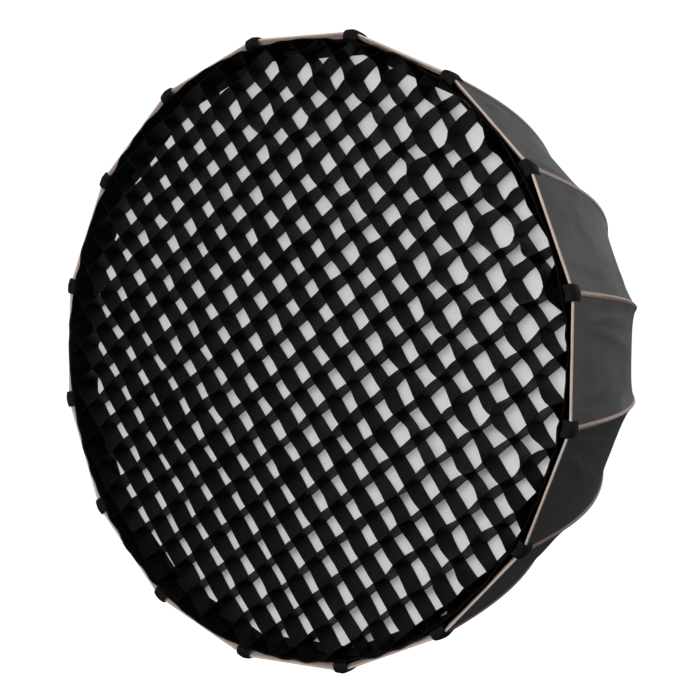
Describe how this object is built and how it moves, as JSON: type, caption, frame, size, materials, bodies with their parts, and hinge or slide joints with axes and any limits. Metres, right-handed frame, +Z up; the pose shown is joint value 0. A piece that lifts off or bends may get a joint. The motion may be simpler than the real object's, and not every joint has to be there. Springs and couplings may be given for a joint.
{
  "type": "parabolic softbox",
  "caption": "Deep parabolic studio softbox whose folding ribs spread a fabric bowl from a bayonet speed ring, with a front diffuser and a fabric egg-crate grid.",
  "frame": {"origin": "centre of the speed ring's rear mounting face, which meets the light's front", "axes": "+Y along the light's axis, out of the rear mounting face; the light shines along -Y; +Z up; +X to the right seen from the front"},
  "size_m": [0.9032, 0.6375, 0.9032],
  "materials": {
    "anodised_metal": "satin",
    "hub_plastic": "matte",
    "spring_steel": "satin",
    "rod_paint": "satin",
    "shell_fabric": "matte",
    "pocket_webbing": "matte",
    "seam_binding": "satin",
    "diffuser_cloth": "matte",
    "grid_cloth": "matte"
  },
  "bodies": {
    "speed_ring": {"speed_ring": "anodised_metal"},
    "hub": {"hub_body": "hub_plastic", "hub_front_cover": "hub_plastic", "hinge_wire": "spring_steel", "retaining_clip": "spring_steel", "rear_cuff": "shell_fabric"},
    "runner": {"runner_ring": "anodised_metal"},
    "diffuser": {"front_diffuser": "diffuser_cloth"},
    "grid": {"egg_crate_grid": "grid_cloth"},
    "rib_01": {"rib_01": "rod_paint", "shell_sector_01": "shell_fabric", "tip_pocket_01": "pocket_webbing"},
    "rib_02": {"rib_02": "rod_paint", "shell_sector_02": "shell_fabric", "tip_pocket_02": "pocket_webbing"},
    "rib_03": {"rib_03": "rod_paint", "shell_sector_03": "shell_fabric", "tip_pocket_03": "pocket_webbing"},
    "rib_04": {"rib_04": "rod_paint", "shell_sector_04": "shell_fabric", "tip_pocket_04": "pocket_webbing"},
    "rib_05": {"rib_05": "rod_paint", "shell_sector_05": "shell_fabric", "tip_pocket_05": "pocket_webbing"},
    "rib_06": {"rib_06": "rod_paint", "shell_sector_06": "shell_fabric", "tip_pocket_06": "pocket_webbing"},
    "rib_07": {"rib_07": "rod_paint", "shell_sector_07": "shell_fabric", "tip_pocket_07": "pocket_webbing"},
    "rib_08": {"rib_08": "rod_paint", "shell_sector_08": "shell_fabric", "tip_pocket_08": "pocket_webbing"},
    "rib_09": {"rib_09": "rod_paint", "shell_sector_09": "shell_fabric", "tip_pocket_09": "pocket_webbing"},
    "rib_10": {"rib_10": "rod_paint", "shell_sector_10": "shell_fabric", "tip_pocket_10": "pocket_webbing"},
    "rib_11": {"rib_11": "rod_paint", "shell_sector_11": "shell_fabric", "tip_pocket_11": "pocket_webbing"},
    "rib_12": {"rib_12": "rod_paint", "shell_sector_12": "shell_fabric", "tip_pocket_12": "pocket_webbing"},
    "rib_13": {"rib_13": "rod_paint", "shell_sector_13": "shell_fabric", "tip_pocket_13": "pocket_webbing"},
    "rib_14": {"rib_14": "rod_paint", "shell_sector_14": "shell_fabric", "tip_pocket_14": "pocket_webbing"},
    "rib_15": {"rib_15": "rod_paint", "shell_sector_15": "shell_fabric", "tip_pocket_15": "pocket_webbing"},
    "rib_16": {"rib_16": "rod_paint", "shell_sector_16": "shell_fabric", "tip_pocket_16": "pocket_webbing"}
  },
  "joints": [
    {"name": "hub_spin", "type": "hinge", "parent": "speed_ring", "child": "hub", "pos_m": [0, 0, 0], "axis": [0, 1, 0], "continuous": true},
    {"name": "diffuser_off_and_fold", "type": "slide", "parent": "hub", "child": "diffuser", "axis": [0, -1, 0], "range_m": [0, 0.7]},
    {"name": "grid_off", "type": "slide", "parent": "diffuser", "child": "grid", "axis": [0, -1, 0], "range_m": [0, 0.12]},
    {"name": "runner_slide", "type": "slide", "parent": "hub", "child": "runner", "axis": [0, 1, 0], "range_m": [0, 0.0073]},
    {"name": "rib_01_fold", "type": "hinge", "parent": "hub", "child": "rib_01", "pos_m": [-0.01288, -0.034, 0.06473], "axis": [0.9808, 0, 0.1951], "range_deg": [0, 32.51], "deforming": ["shell_sector_01"]},
    {"name": "rib_02_fold", "type": "hinge", "parent": "hub", "child": "rib_02", "pos_m": [0.01288, -0.034, 0.06473], "axis": [0.9808, 0, -0.1951], "range_deg": [0, 32.51], "deforming": ["shell_sector_02"]},
    {"name": "rib_03_fold", "type": "hinge", "parent": "hub", "child": "rib_03", "pos_m": [0.03667, -0.034, 0.05488], "axis": [0.8315, 0, -0.5556], "range_deg": [0, 32.51], "deforming": ["shell_sector_03"]},
    {"name": "rib_04_fold", "type": "hinge", "parent": "hub", "child": "rib_04", "pos_m": [0.05488, -0.034, 0.03667], "axis": [0.5556, 0, -0.8315], "range_deg": [0, 32.51], "deforming": ["shell_sector_04"]},
    {"name": "rib_05_fold", "type": "hinge", "parent": "hub", "child": "rib_05", "pos_m": [0.06473, -0.034, 0.01288], "axis": [0.1951, 0, -0.9808], "range_deg": [0, 32.51], "deforming": ["shell_sector_05"]},
    {"name": "rib_06_fold", "type": "hinge", "parent": "hub", "child": "rib_06", "pos_m": [0.06473, -0.034, -0.01288], "axis": [-0.1951, 0, -0.9808], "range_deg": [0, 32.51], "deforming": ["shell_sector_06"]},
    {"name": "rib_07_fold", "type": "hinge", "parent": "hub", "child": "rib_07", "pos_m": [0.05488, -0.034, -0.03667], "axis": [-0.5556, 0, -0.8315], "range_deg": [0, 32.51], "deforming": ["shell_sector_07"]},
    {"name": "rib_08_fold", "type": "hinge", "parent": "hub", "child": "rib_08", "pos_m": [0.03667, -0.034, -0.05488], "axis": [-0.8315, 0, -0.5556], "range_deg": [0, 32.51], "deforming": ["shell_sector_08"]},
    {"name": "rib_09_fold", "type": "hinge", "parent": "hub", "child": "rib_09", "pos_m": [0.01288, -0.034, -0.06473], "axis": [-0.9808, 0, -0.1951], "range_deg": [0, 32.51], "deforming": ["shell_sector_09"]},
    {"name": "rib_10_fold", "type": "hinge", "parent": "hub", "child": "rib_10", "pos_m": [-0.01288, -0.034, -0.06473], "axis": [-0.9808, 0, 0.1951], "range_deg": [0, 32.51], "deforming": ["shell_sector_10"]},
    {"name": "rib_11_fold", "type": "hinge", "parent": "hub", "child": "rib_11", "pos_m": [-0.03667, -0.034, -0.05488], "axis": [-0.8315, 0, 0.5556], "range_deg": [0, 32.51], "deforming": ["shell_sector_11"]},
    {"name": "rib_12_fold", "type": "hinge", "parent": "hub", "child": "rib_12", "pos_m": [-0.05488, -0.034, -0.03667], "axis": [-0.5556, 0, 0.8315], "range_deg": [0, 32.51], "deforming": ["shell_sector_12"]},
    {"name": "rib_13_fold", "type": "hinge", "parent": "hub", "child": "rib_13", "pos_m": [-0.06473, -0.034, -0.01288], "axis": [-0.1951, 0, 0.9808], "range_deg": [0, 32.51], "deforming": ["shell_sector_13"]},
    {"name": "rib_14_fold", "type": "hinge", "parent": "hub", "child": "rib_14", "pos_m": [-0.06473, -0.034, 0.01288], "axis": [0.1951, 0, 0.9808], "range_deg": [0, 32.51], "deforming": ["shell_sector_14"]},
    {"name": "rib_15_fold", "type": "hinge", "parent": "hub", "child": "rib_15", "pos_m": [-0.05488, -0.034, 0.03667], "axis": [0.5556, 0, 0.8315], "range_deg": [0, 32.51], "deforming": ["shell_sector_15"]},
    {"name": "rib_16_fold", "type": "hinge", "parent": "hub", "child": "rib_16", "pos_m": [-0.03667, -0.034, 0.05488], "axis": [0.8315, 0, 0.5556], "range_deg": [0, 32.51], "deforming": ["shell_sector_16"]}
  ],
  "couplings": [
    {"joint": "runner_slide", "follows": "diffuser_off_and_fold", "ratio": 0.0101},
    {"joint": "rib_01_fold", "follows": "diffuser_off_and_fold", "rad_per_m": 0.81033},
    {"joint": "rib_02_fold", "follows": "diffuser_off_and_fold", "rad_per_m": 0.81033},
    {"joint": "rib_03_fold", "follows": "diffuser_off_and_fold", "rad_per_m": 0.81033},
    {"joint": "rib_04_fold", "follows": "diffuser_off_and_fold", "rad_per_m": 0.81033},
    {"joint": "rib_05_fold", "follows": "diffuser_off_and_fold", "rad_per_m": 0.81033},
    {"joint": "rib_06_fold", "follows": "diffuser_off_and_fold", "rad_per_m": 0.81033},
    {"joint": "rib_07_fold", "follows": "diffuser_off_and_fold", "rad_per_m": 0.81033},
    {"joint": "rib_08_fold", "follows": "diffuser_off_and_fold", "rad_per_m": 0.81033},
    {"joint": "rib_09_fold", "follows": "diffuser_off_and_fold", "rad_per_m": 0.81033},
    {"joint": "rib_10_fold", "follows": "diffuser_off_and_fold", "rad_per_m": 0.81033},
    {"joint": "rib_11_fold", "follows": "diffuser_off_and_fold", "rad_per_m": 0.81033},
    {"joint": "rib_12_fold", "follows": "diffuser_off_and_fold", "rad_per_m": 0.81033},
    {"joint": "rib_13_fold", "follows": "diffuser_off_and_fold", "rad_per_m": 0.81033},
    {"joint": "rib_14_fold", "follows": "diffuser_off_and_fold", "rad_per_m": 0.81033},
    {"joint": "rib_15_fold", "follows": "diffuser_off_and_fold", "rad_per_m": 0.81033},
    {"joint": "rib_16_fold", "follows": "diffuser_off_and_fold", "rad_per_m": 0.81033}
  ]
}
